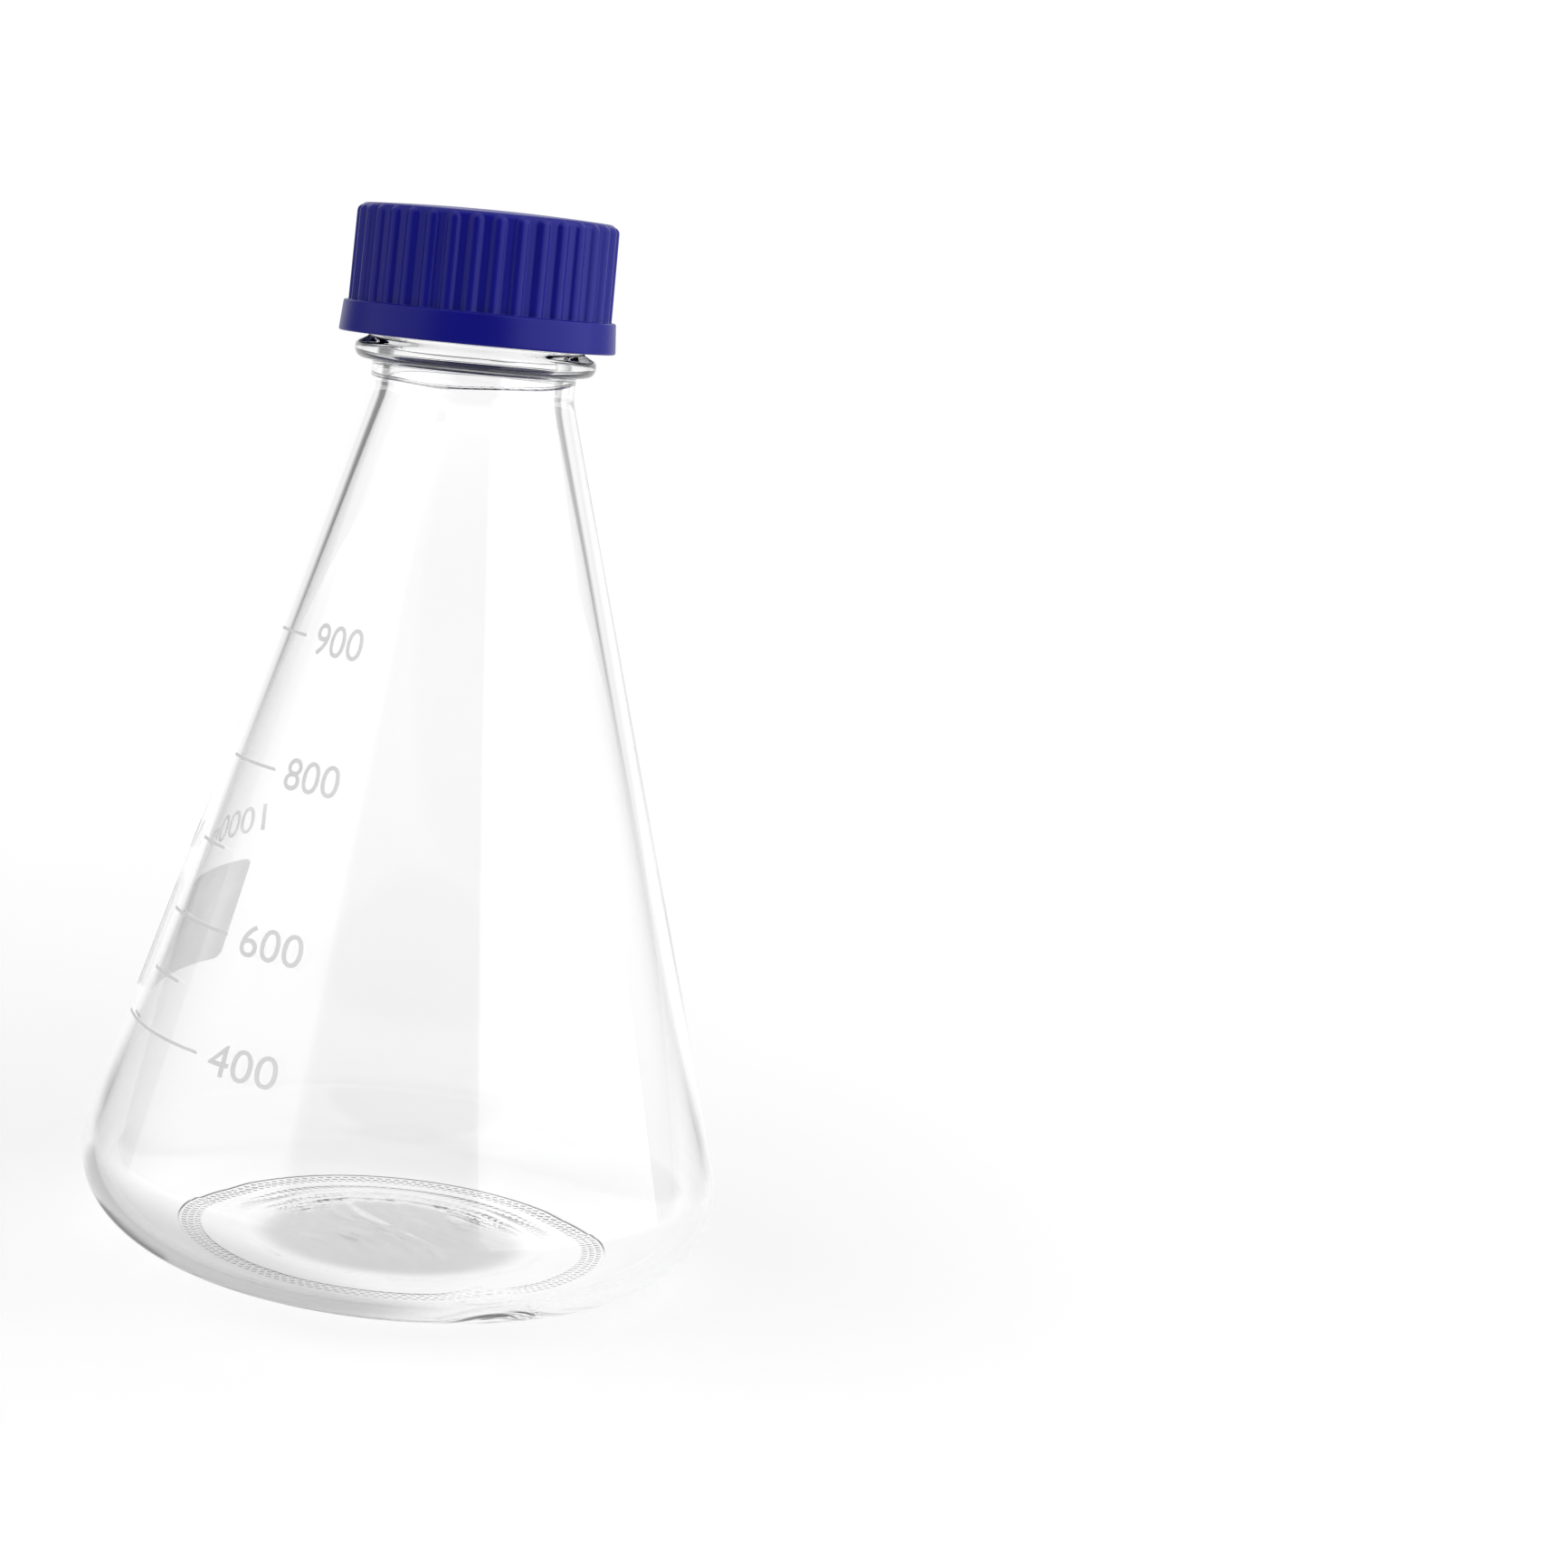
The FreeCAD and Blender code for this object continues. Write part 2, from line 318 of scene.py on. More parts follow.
wall_inside = rounded_profile([
    (rim_middle, RIM_HEIGHT, 0, 1),
    (BORE_RADIUS, RIM_HEIGHT, RIM_ROUNDING, 1),
    (BORE_RADIUS, BORE_LINE + BORE_LINE_SPREAD, 0, 3),
    (BORE_RADIUS, BORE_LINE - BORE_LINE_SPREAD, 0, 0.14),
    (*FLARE, FLARE_ROUNDING, 0.5),
    (*heel_inside[0], 0, 3),
])
floor_radius = np.linspace(BEARING_RADIUS, MIDDLE_RADIUS, FLOOR_ROWS)
floor_dome = (FLOOR_HEIGHT - FLOOR_EDGE_HEIGHT) * (1 - (floor_radius / BEARING_RADIUS) ** 2) ** 2
floor_rows = np.stack([floor_radius, FLOOR_EDGE_HEIGHT + floor_dome], axis=-1)
outside_rows = np.concatenate([heel_outside, wall_outside[1:]])
inside_rows = np.concatenate([wall_inside[1:], heel_inside[1:], floor_rows[1:]])
print("rows", len(underside_rows), len(outside_rows), len(inside_rows))

# %% [markdown]
# ## What the mould and the blowing leave in the glass
#
# A few things make it look like real glass. The thread is a rounded ridge that climbs round the finish.
# The ring it stands on is knurled with rows of dots, so that hot glass never sits flat on a cold bench.
# The inside never touches a mould, so it is slightly wavy, most near the heel and the neck, with a
# thin slanting line in the bore where the plunger ended. All could be bump maps, but refraction and the
# exported mesh need them as shape, so each is a height added along the outline's normal.

# %% Thread and knurl
THREAD_PITCH = 4.0
THREAD_TURNS = 1.75
THREAD_FOOT = 192.5
THREAD_RISE = 1.4
THREAD_HALF_WIDTH = 1.5
THREAD_TAPER = 0.12
KNURL_DOTS = 144
KNURL_LINES = (39.7, 41.2, 42.7)
KNURL_DOT = 0.75


def smooth_step(value, start, end):
    """Goes from 0 at the start to 1 at the end as 3 s^2 - 2 s^3, level at both ends."""
    share = np.clip((value - start) / (end - start), 0, 1)
    return share * share * (3 - 2 * share)


def helix_ridge(angle, height, foot):
    """A rounded ridge of height 1 along a right-handed helix, with tapered ends.

    The nearest turn of the helix at an angle is angle / 2 pi plus a whole number. The ridge is a squared
    cosine of the distance in height from that turn.
    """
    start = angle / (2 * np.pi)
    turns = start + np.round((height - foot) / THREAD_PITCH - start)
    away = np.clip((height - foot - THREAD_PITCH * turns) / THREAD_HALF_WIDTH, -1, 1)
    ends = smooth_step(turns, 0, THREAD_TAPER)
    ends = ends * smooth_step(turns, THREAD_TURNS, THREAD_TURNS - THREAD_TAPER)
    return np.cos(away * np.pi / 2) ** 2 * ends


def knurl_dots(angle, radius):
    """Bells (1 - d^2 / dot^2)^2 on rings of even dots, each ring half a dot out of step with the next."""
    height = np.zeros(np.broadcast_shapes(angle.shape, radius.shape))
    for number, line in enumerate(KNURL_LINES):
        place = angle * KNURL_DOTS / (2 * np.pi) + number / 2
        along = (place - np.round(place)) * 2 * np.pi * line / KNURL_DOTS
        away = (along ** 2 + (radius - line) ** 2) / KNURL_DOT ** 2
        height = np.maximum(height, np.clip(1 - away, 0, 1) ** 2)
    return height


print("knurl of", KNURL_DOTS * len(KNURL_LINES), "dots, thread of", THREAD_TURNS, "turns")

# %% Waves and marks inside
WAVES = ((0.5, 2, 0.7, 60.0), (0.3, 3, -1.1, 35.0), (0.1, 5, 2.0, 22.0))
WAVE_DEPTH = 0.1
HEEL_WAVE_DEPTH = 0.25
HEEL_WAVE_EDGE = (40.0, 6.0)
NECK_WAVE_DEPTH = 0.2
NECK_WAVE_START = (140.0, 170.0)
NECK_WAVE_END = (186.0, 172.0)
LUMP_PLACE = (19.0, -40.0)
LUMP_RISE = 2.0
LUMP_WIDTH = 6.0
RIPPLE_RISE = 0.08
RIPPLE_SLANT = (0.9, 0.5)
RIPPLE_BEND = 1.5
RIPPLE_BEND_LENGTH = 6.0
RIPPLE_BEAT = 0.37
RIPPLE_PHASE = 1.0
RIPPLE_EDGE = (30.0, 18.0)
RIPPLE_MIDDLE = 4.0
FLOOR_MARKS_EDGE = (12.0, 8.0)
BORE_LINE_RISE = 0.38
BORE_LINE_HALF = 0.32
BORE_LINE_TILT = (0.7, -1.2)
BORE_LINE_RIPPLE = 0.12
BORE_LINE_RIPPLES = 5


def uneven(angle, height):
    """Slow waves round and up the inside, stronger towards the heel and the neck.

    Each wave is share * sin(count * angle + phase + height / length).
    """
    waves = 0
    for share, count, phase, length in WAVES:
        waves = waves + share * np.sin(count * angle + phase + height / length)
    near_heel = smooth_step(height, *HEEL_WAVE_EDGE)
    near_neck = smooth_step(height, *NECK_WAVE_START) * smooth_step(height, *NECK_WAVE_END)
    return waves * (WAVE_DEPTH + HEEL_WAVE_DEPTH * near_heel + NECK_WAVE_DEPTH * near_neck)


def floor_marks(angle, radius):
    """A soft lump where the gob folded, and shear marks that fade at the disc's edge.

    The lump is a bell, exp(-(d / width)^2), of the distance d from its middle on the floor. The marks are
    fine ripples along slanting, slightly bent lines: a sine times a slower sine.
    """
    across, depth = radius * np.sin(angle), -radius * np.cos(angle)
    apart = np.hypot(across - LUMP_PLACE[0], depth - LUMP_PLACE[1])
    lump = LUMP_RISE * np.exp(-(apart / LUMP_WIDTH) ** 2)
    along = RIPPLE_SLANT[0] * across + RIPPLE_SLANT[1] * depth
    along = along + RIPPLE_BEND * np.sin(depth / RIPPLE_BEND_LENGTH)
    ripple = RIPPLE_RISE * np.sin(along) * np.sin(RIPPLE_BEAT * along + RIPPLE_PHASE)
    return lump + ripple * smooth_step(radius, *RIPPLE_EDGE) * smooth_step(radius, 0, RIPPLE_MIDDLE)


def bore_line(angle, height):
    """A thin rounded ridge round the bore, highest on the right and at the back.

    Its height is level + tilt to the right * sin a + tilt to the front * cos a with a small ripple, and
    across it the ridge is a squared cosine.
    """
    level = BORE_LINE + BORE_LINE_TILT[0] * np.sin(angle) + BORE_LINE_TILT[1] * np.cos(angle)
    level = level + BORE_LINE_RIPPLE * np.sin(BORE_LINE_RIPPLES * angle)
    away = np.clip((height - level) / BORE_LINE_HALF, -1, 1)
    return BORE_LINE_RISE * np.cos(away * np.pi / 2) ** 2


print("inside marks: waves, a lump, shear marks and a line in the bore at", BORE_LINE, "mm")

# %% [markdown]
# ## Clear glass
#
# Borosilicate glass is colourless, but a long way through it, as along an edge, looks grey. A transparent
# shader would lose the bending of light that makes glass readable, so this is a transmissive Principled
# shader with a faint even absorption inside. Lamps would cast a black shadow through it, so shadow rays
# meet a plain transparent shader, darker under the pushed-up disc, which spreads the light like a lens.

# %% Node helpers
def new_material(name):
    """A node material, with its node tree and its Principled shader."""
    material = bpy.data.materials.new(name)
    material.use_nodes = True
    return material, material.node_tree, material.node_tree.nodes["Principled BSDF"]


def feed(node, inputs):
    """Fills a node's inputs, by name or number: another node's output is linked, a plain value is set."""
    for key, value in inputs.items():
        if isinstance(value, bpy.types.NodeSocket):
            node.id_data.links.new(value, node.inputs[key])
        else:
            node.inputs[key].default_value = value


def add_node(tree, kind, inputs=None, **settings):
    """A new node of a kind in a tree, with the given settings and inputs."""
    node = tree.nodes.new(kind)
    for key, value in settings.items():
        setattr(node, key, value)
    feed(node, inputs or {})
    return node


def math_node(tree, operation, *values):
    """The result of a math node, whose inputs are other nodes' outputs or plain numbers."""
    return add_node(tree, "ShaderNodeMath", dict(enumerate(values)), operation=operation).outputs["Value"]


def length_of(tree, vector):
    """The length of a vector."""
    return add_node(tree, "ShaderNodeVectorMath", {0: vector}, operation="LENGTH").outputs["Value"]


def ramp(tree, value, edge, ends, kind):
    """A value that goes from the first end to the second as the input crosses an edge, either way round."""
    inputs = {"Value": value, "From Min": edge[0], "From Max": edge[1], "To Min": ends[0], "To Max": ends[1]}
    return add_node(tree, "ShaderNodeMapRange", inputs, interpolation_type=kind).outputs["Result"]


def soft_step(tree, value, edge, ends=(0, 1)):
    """A ramp that is level at both ends."""
    return ramp(tree, value, edge, ends, "SMOOTHSTEP")


print("materials of the frame", [material.name for material in bpy.data.materials])

# %% Glass material
WHITE = (1, 1, 1, 1)
GLASS_INDEX = 1.473
GLASS_TINT = (0.5, 0.52, 0.52, 1)
GLASS_DENSITY = 3
GLASS_SHADE = 0.98
DISC_SHADE = 0.3
DISC_EDGE = (23 * MM, 29 * MM)
UNDERSIDE_TOP = 2.2 * MM


def lens_shade(tree):
    """How much lamp light a surface of the glass lets on: less on the underside within the disc's edge."""
    place = add_node(tree, "ShaderNodeTexCoord").outputs["Object"]
    split = add_node(tree, "ShaderNodeSeparateXYZ", {"Vector": place})
    disc = soft_step(tree, length_of(tree, place), DISC_EDGE, (DISC_SHADE, 1))
    above = math_node(tree, "GREATER_THAN", split.outputs["Z"], UNDERSIDE_TOP)
    return math_node(tree, "MULTIPLY", math_node(tree, "MAXIMUM", disc, above), GLASS_SHADE)


def clear_glass():
    """Transmissive glass with grey absorption, which lets lamps through."""
    material, tree, glass = new_material("clear_glass")
    feed(glass, {"Base Color": WHITE, "Roughness": 0, "IOR": GLASS_INDEX, "Transmission Weight": 1})
    path = add_node(tree, "ShaderNodeLightPath")
    through = add_node(tree, "ShaderNodeBsdfTransparent", {"Color": lens_shade(tree)})
    choice = {"Fac": path.outputs["Is Shadow Ray"], 1: glass.outputs["BSDF"], 2: through.outputs["BSDF"]}
    surface = add_node(tree, "ShaderNodeMixShader", choice).outputs["Shader"]
    inside = add_node(tree, "ShaderNodeVolumeAbsorption", {"Color": GLASS_TINT, "Density": GLASS_DENSITY})
    feed(tree.nodes["Material Output"], {"Surface": surface, "Volume": inside.outputs["Volume"]})
    return material


glass_material = clear_glass()
print(glass_material.name, "with", len(glass_material.node_tree.nodes), "nodes")

# %% [markdown]
# ## The flask
#
# The four stretches of the outline become bands of rings. Only the knurled band needs many columns, eight
# to a dot. The whole flask could have as many, but that is far more faces than its smooth walls need, so
# the rest has a sixth as many and is stitched to it.

# %% Turning an outline into a piece
def outline_normals(rows):
    """Unit normals (tz, -tr) of an outline with tangent (tr, tz), which point out of the glass."""
    tangent = np.gradient(rows, axis=0)
    tangent = tangent / np.linalg.norm(tangent, axis=1, keepdims=True)
    return np.stack([tangent[:, 1], -tangent[:, 0]], axis=-1)


def turned(rows, columns, added):
    """Rings of points for outline rows, each moved along its normal by added(angle, radius, height)."""
    angle = even_angles(columns)
    radius, height = rows[:, :1], rows[:, 1:]
    normal = outline_normals(rows)
    extra = added(angle, radius, height)
    return ring_points(radius + normal[:, :1] * extra, height + normal[:, 1:] * extra, columns)


def plain(angle, radius, height):
    """No change to the outline."""
    return np.zeros(np.broadcast_shapes(angle.shape, height.shape))


def add_piece(name, points, faces, body, material):
    """A smooth mesh object at the origin, from points in millimetres, that rides on a body."""
    mesh = bpy.data.meshes.new(name)
    mesh.from_pydata((points * MM).tolist(), [], faces)
    mesh.shade_smooth()
    mesh.materials.append(material)
    piece = add_object(name, mesh)
    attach(piece, body)
    mesh.calc_loop_triangles()
    print(name, len(mesh.vertices), "points", len(mesh.loop_triangles), "triangles")
    return piece


print("the cone faces", outline_normals(wall_outside)[1].round(3), "in radius and height")

# %% Flask mesh
KNURL_RISE = 0.16
KNURL_STEP = 0.21
KNURL_COLUMNS = 8 * KNURL_DOTS
COLUMNS = KNURL_COLUMNS // 6


def bearing_height(radius):
    """The flat ring, and outside it the heel's ellipse: rise * (1 - sqrt(1 - (out / reach)^2))."""
    out = np.clip(radius - BEARING_RADIUS, 0, None) / HEEL_REACH
    return HEEL_RISE * (1 - np.sqrt(1 - out ** 2))


def knurl_band():
    """The bearing ring raised by the height of the dots, so that only their tops reach the bench."""
    count = round((KNURL_OUTSIDE - KNURL_INSIDE) / KNURL_STEP)
    radius = np.linspace(KNURL_INSIDE, KNURL_OUTSIDE, count + 1)[1:-1, None]
    angle = even_angles(KNURL_COLUMNS)
    window = smooth_step(radius, KNURL_INSIDE, KNURL_INSIDE + KNURL_DOT)
    window = window * smooth_step(radius, KNURL_OUTSIDE, KNURL_OUTSIDE - KNURL_DOT)
    lift = KNURL_RISE * window * (1 - knurl_dots(angle, radius))
    return ring_points(radius, bearing_height(radius) + lift, KNURL_COLUMNS)


def threaded(angle, radius, height):
    """The screw thread on the finish."""
    return THREAD_RISE * helix_ridge(angle, height, THREAD_FOOT)


def blown(angle, radius, height):
    """The wavy inside, which fades out towards the axis, the floor's marks and the bore's line."""
    waves = uneven(angle, height) * smooth_step(radius, 0, BORE_RADIUS)
    on_floor = smooth_step(height, *FLOOR_MARKS_EDGE)
    return waves + floor_marks(angle, radius) * on_floor + bore_line(angle, height)


flask = add_piece("flask_glass", *closed_skin([
    pole(PUSH_UP_HEIGHT),
    turned(underside_rows, COLUMNS, plain),
    knurl_band(),
    turned(outside_rows, COLUMNS, threaded),
    turned(inside_rows, COLUMNS, blown),
    pole(FLOOR_HEIGHT),
]), "flask", glass_material)
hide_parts("flask_body")

# %% [markdown]
# ## Moulded plastic and rubber
#
# The cap, the pouring ring and the seal are all injection moulded. Their skins have a fine spark-eroded
# grain, a slight clouding of the pigment and a gloss that varies with handling. Three separate materials
# could each repeat those nodes. Here one node group gives the tint, the roughness and the height of the
# grain, and each material feeds it its own colour and values.

# %% Grain group
CLOUDS_PER_METRE = 140
CLOUD_DETAIL = 3
GRAIN_DETAIL = 4
NOISE_MIDDLE = 0.5


def new_group(name, inputs, outputs):
    """A shader node group with named sockets of given kinds, and its input and output nodes."""
    group = bpy.data.node_groups.new(name, "ShaderNodeTree")
    for way, sockets in (("INPUT", inputs), ("OUTPUT", outputs)):
        for socket, kind in sockets.items():
            group.interface.new_socket(socket, in_out=way, socket_type="NodeSocket" + kind)
    return group, add_node(group, "NodeGroupInput"), add_node(group, "NodeGroupOutput")


def moulded_grain():
    """A node group: noise at two scales gives a clouded colour, an uneven roughness and a grain height."""
    group, given, made = new_group(
        "moulded_grain",
        {"Color": "Color", "Clouding": "Float", "Roughness": "Float", "Grain per metre": "Float"},
        {"Color": "Color", "Roughness": "Float", "Height": "Float"},
    )
    place = add_node(group, "ShaderNodeTexCoord").outputs["Object"]
    coarse = {"Vector": place, "Scale": CLOUDS_PER_METRE, "Detail": CLOUD_DETAIL}
    cloud = add_node(group, "ShaderNodeTexNoise", coarse)
    fine = {"Vector": place, "Scale": given.outputs["Grain per metre"], "Detail": GRAIN_DETAIL}
    grain = add_node(group, "ShaderNodeTexNoise", fine)
    centred = math_node(group, "SUBTRACT", cloud.outputs["Fac"], NOISE_MIDDLE)
    strength = math_node(group, "MULTIPLY_ADD", centred, given.outputs["Clouding"], 1)
    clouded = {0: given.outputs["Color"], "Scale": strength}
    tint = add_node(group, "ShaderNodeVectorMath", clouded, operation="SCALE").outputs["Vector"]
    gloss = math_node(group, "MULTIPLY", given.outputs["Roughness"], strength)
    feed(made, {"Color": tint, "Roughness": gloss, "Height": grain.outputs["Fac"]})
    return group


grain_group = moulded_grain()
print(grain_group.name, "with", len(grain_group.nodes), "nodes")

# %% Moulded materials
CAP_SKIN = {"Color": (0.003, 0.0036, 0.195, 1), "Roughness": 0.34, "Clouding": 0.25, "Grain per metre": 2600}
RING_SKIN = {"Color": (0.01, 0.011, 0.17, 1), "Roughness": 0.3, "Clouding": 0.2, "Grain per metre": 2600}
SEAL_SKIN = {"Color": (0.72, 0.72, 0.70, 1), "Roughness": 0.55, "Clouding": 0.1, "Grain per metre": 1800}


def place_grain(tree, shader, skin):
    """Feeds a shader's colour and roughness from the grain group, and gives the grain's height."""
    grain = add_node(tree, "ShaderNodeGroup", skin, node_tree=grain_group)
    feed(shader, {"Base Color": grain.outputs["Color"], "Roughness": grain.outputs["Roughness"]})
    return grain.outputs["Height"]


def moulded(name, skin, specular, grain_depth):
    """A moulded material: the grain group's colour and roughness, and a bump of the given depth in mm."""
    material, tree, plastic = new_material(name)
    height = place_grain(tree, plastic, skin)
    bump = add_node(tree, "ShaderNodeBump", {"Distance": grain_depth * MM, "Height": height})
    feed(plastic, {"Specular IOR Level": specular, "Normal": bump.outputs["Normal"]})
    return material


cap_material = moulded("cap_plastic", CAP_SKIN, specular=0.16, grain_depth=0.02)
ring_material = moulded("ring_plastic", RING_SKIN, specular=0.3, grain_depth=0.02)
seal_material = moulded("seal_rubber", SEAL_SKIN, specular=0.4, grain_depth=0.03)
print("materials", [material.name for material in bpy.data.materials])

# %% [markdown]
# ## The screw cap
#
# The cap is moulded in one shot of polypropylene: a ribbed grip with rounded rib ends, a plain flange
# below it, and inside a wider entry and the thread. Ribs could be cylinders joined by a boolean, which
# leaves knife edges at their feet. Here they are a height on the grip that is blended into the valleys,
# as a draughtsman would fillet them. The grip has twenty columns to a rib, and the rest of the cap four.

# %% Cap sizes, in millimetres
cap_low, cap_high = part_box("screw_cap")
CAP_FOOT = cap_low.z / MM
CAP_HEIGHT = cap_high.z / MM
FLANGE_RADIUS = cap_high.x / MM
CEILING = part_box("cap_seal")[1].z / MM
CEILING_ROUNDING = 0.4
CAP_BORE_RADIUS = 23.2
ENTRY_RADIUS = 24.0
ENTRY_DEPTH = 3.0
ENTRY_ROUNDING = 0.6
ENTRY_EDGE_ROUNDING = 0.3
FLANGE_TOP = CAP_FOOT + 6.0
FLANGE_DRAFT = 0.5
FLANGE_ROUNDING = 0.4
LEDGE_RADIUS = FLANGE_RADIUS - FLANGE_DRAFT - FLANGE_ROUNDING
VALLEY_RADIUS = 24.9
GRIP_DRAFT = 0.2
GRIP_FILLET = 0.3
TOP_ROUNDING = 1.2
CROWN_RISE = 0.8
CROWN_EDGE_WIDTH = 3.0
CROWN_GROOVE_RADIUS = 18.5
CROWN_GROOVE_HALF = 0.8
CROWN_GROOVE_DEPTH = 0.2
GATE_RADIUS = 2.4
GATE_EDGE = 0.6
GATE_DEPTH = 0.3
RIB_COUNT = 36
RIB_WIDTH = 2.7
RIB_RISE = 0.7
RIB_END = CAP_HEIGHT - 2.5
RIB_FOOT_HEIGHT = 1.0
RIB_BLEND = 0.1
CAP_THREAD_RISE = 1.3
CAP_THREAD_FOOT = THREAD_FOOT - THREAD_PITCH / 2
HAIR = 0.01
print("cap", round(2 * FLANGE_RADIUS, 1), "mm across,", round(CAP_HEIGHT - CAP_FOOT, 1), "mm tall")


# %% Ribs, crown and thread of the cap
def ribs(angle, radius, height):
    """Rounded ribs with domed upper ends, blended into the valleys, as an amount to add to the radius.

    Across a rib the height is a circle's arc, sqrt(R^2 - s^2) - (R - rise), where s is the distance from the
    rib's middle line, and past its end from the end of that line. The blend is (h + sqrt(h^2 + b^2)) / 2,
    less what it leaves in the valleys. On the flange's ledge the ribs fade out towards the edge, so their
    feet keep the fillet. The front lies between two ribs.
    """
    place = angle * RIB_COUNT / (2 * np.pi) - 0.5
    across = (place - np.round(place)) * 2 * np.pi * VALLEY_RADIUS / RIB_COUNT
    past_end = np.clip(height - RIB_END, 0, None)
    half = RIB_WIDTH / 2
    curve = (half ** 2 + RIB_RISE ** 2) / (2 * RIB_RISE)
    away = across ** 2 + past_end ** 2
    dome = np.sqrt(np.clip(curve ** 2 - away, 0, None)) - (curve - RIB_RISE)
    valley = RIB_RISE - curve
    blended = (dome + np.sqrt(dome ** 2 + RIB_BLEND ** 2)) / 2
    blended = blended - (valley + math.hypot(valley, RIB_BLEND)) / 2
    ledge = np.clip((LEDGE_RADIUS - radius) / (LEDGE_RADIUS - VALLEY_RADIUS - GRIP_FILLET), 0, 1)
    return blended * ledge * (height > FLANGE_TOP - HAIR)


def ribbed(rows, columns):
    """Rings of points for outline rows, each moved straight out from the axis by the ribs."""
    angle = even_angles(columns)
    radius, height = rows[:, :1], rows[:, 1:]
    return ring_points(radius + ribs(angle, radius, height), height, columns)


def crown(radius):
    """The top's height: a low dome, with a shallow round groove and a dimple where the plastic was let in.

    The dome falls with the square of the radius. The groove is a squared cosine of the distance from its
    middle, and the dimple's edge is a smooth step.
    """
    off_groove = np.clip((radius - CROWN_GROOVE_RADIUS) / CROWN_GROOVE_HALF, -1, 1)
    groove = CROWN_GROOVE_DEPTH * np.cos(off_groove * np.pi / 2) ** 2
    gate = GATE_DEPTH * smooth_step(radius, GATE_RADIUS, GATE_RADIUS - GATE_EDGE)
    return CAP_HEIGHT - CROWN_RISE * (radius / VALLEY_RADIUS) ** 2 - groove - gate


def cap_thread(angle, radius, height):
    """The cap's thread, which runs half a pitch below the flask's and so fills its groove."""
    return CAP_THREAD_RISE * helix_ridge(angle, height, CAP_THREAD_FOOT)


print("the crown falls", round(float(crown(GATE_RADIUS) - crown(VALLEY_RADIUS)), 2), "mm to its edge")

# %% Cap mesh
CAP_COLUMNS = 4 * RIB_COUNT
GRIP_COLUMNS = 20 * RIB_COUNT
CROWN_ROWS = 70

cap_inside = rounded_profile([
    (MIDDLE_RADIUS, CEILING, 0, 1),
    (CAP_BORE_RADIUS, CEILING, CEILING_ROUNDING, 5),
    (CAP_BORE_RADIUS, CAP_FOOT + ENTRY_DEPTH + ENTRY_RADIUS - CAP_BORE_RADIUS, ENTRY_ROUNDING, 0.4),
    (ENTRY_RADIUS, CAP_FOOT + ENTRY_DEPTH, ENTRY_ROUNDING, 1),
    (ENTRY_RADIUS, CAP_FOOT, ENTRY_EDGE_ROUNDING, 1),
    ((ENTRY_RADIUS + FLANGE_RADIUS) / 2, CAP_FOOT, 0, 1),
])
grip_top = VALLEY_RADIUS - GRIP_DRAFT
crown_edge = grip_top - CROWN_EDGE_WIDTH
cap_outside = rounded_profile([
    (*cap_inside[-1], 0, 1),
    (FLANGE_RADIUS, CAP_FOOT, FLANGE_ROUNDING, 1),
    (FLANGE_RADIUS - FLANGE_DRAFT, FLANGE_TOP, FLANGE_ROUNDING, 1),
    (VALLEY_RADIUS, FLANGE_TOP, GRIP_FILLET, 0.25),
    (VALLEY_RADIUS, FLANGE_TOP + RIB_FOOT_HEIGHT, 0, 0.25),
    (grip_top, RIB_END, 0, 2),
    (grip_top, CAP_HEIGHT - CROWN_RISE, TOP_ROUNDING, 0.2),
    (crown_edge, crown(crown_edge), 0, 1),
])
crown_radius = np.linspace(crown_edge, MIDDLE_RADIUS, CROWN_ROWS)[1:, None]
cap = add_piece("ribbed_cap", *closed_skin([
    pole(CEILING),
    turned(cap_inside, CAP_COLUMNS, cap_thread),
    ribbed(cap_outside[1:], GRIP_COLUMNS),
    ring_points(crown_radius, crown(crown_radius), CAP_COLUMNS),
    pole(crown(0.0)),
]), "cap", cap_material)
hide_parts("screw_cap")

# %% [markdown]
# ## Pouring ring and seal
#
# Both show only when the cap is off. The ring is pressed into the mouth, with a dished lip that lets the
# last drop fall clear and barbs on its skirt that hold it in the bore. The seal is a soft disc that the
# ring has marked with a round groove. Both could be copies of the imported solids, but those lack the barbs
# and the groove, so their outlines are given here and turned.

# %% Pouring ring
ring_low, ring_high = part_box("pouring_ring")
RING_FOOT = ring_low.z / MM
RING_TOP = ring_high.z / MM
RING_LIP_RADIUS = ring_high.x / MM
RING_LIP_WIDTH = 2.0
RING_BORE_RADIUS = 14.85
RING_PLUG_RADIUS = 16.35
RING_DISH = 0.4
RING_DISH_WIDTH = 2.2
RING_EDGE_ROUNDING = 0.3
RING_LIP_ROUNDING = 0.5
RING_SLOPE_ROUNDING = 1.0
RING_DISH_ROUNDING = 0.6
BARB_COUNT = 3
BARB_RISE = 0.12
BARB_MARGIN = 0.3
RING_COLUMNS = 144


def barbs(angle, radius, height):
    """Low rings on the skirt, shaped as a squared sine, which press against the bore."""
    share = (height - RING_FOOT) / (RIM_HEIGHT - RING_FOOT)
    on_skirt = (height < RIM_HEIGHT - BARB_MARGIN) * (height > RING_FOOT + BARB_MARGIN)
    on_skirt = on_skirt * (radius > RING_PLUG_RADIUS - HAIR)
    return BARB_RISE * np.sin(BARB_COUNT * np.pi * share) ** 2 * on_skirt + 0 * angle


def turned_ring(rows, columns, added):
    """Points and faces of a ring whose outline closes on itself."""
    points = turned(rows, columns, added)
    index = np.arange(points.shape[0] * columns).reshape(points.shape[:2])
    faces = band_quads(np.concatenate([index, index[:1]]))
    return points.reshape(-1, 3), faces.tolist()


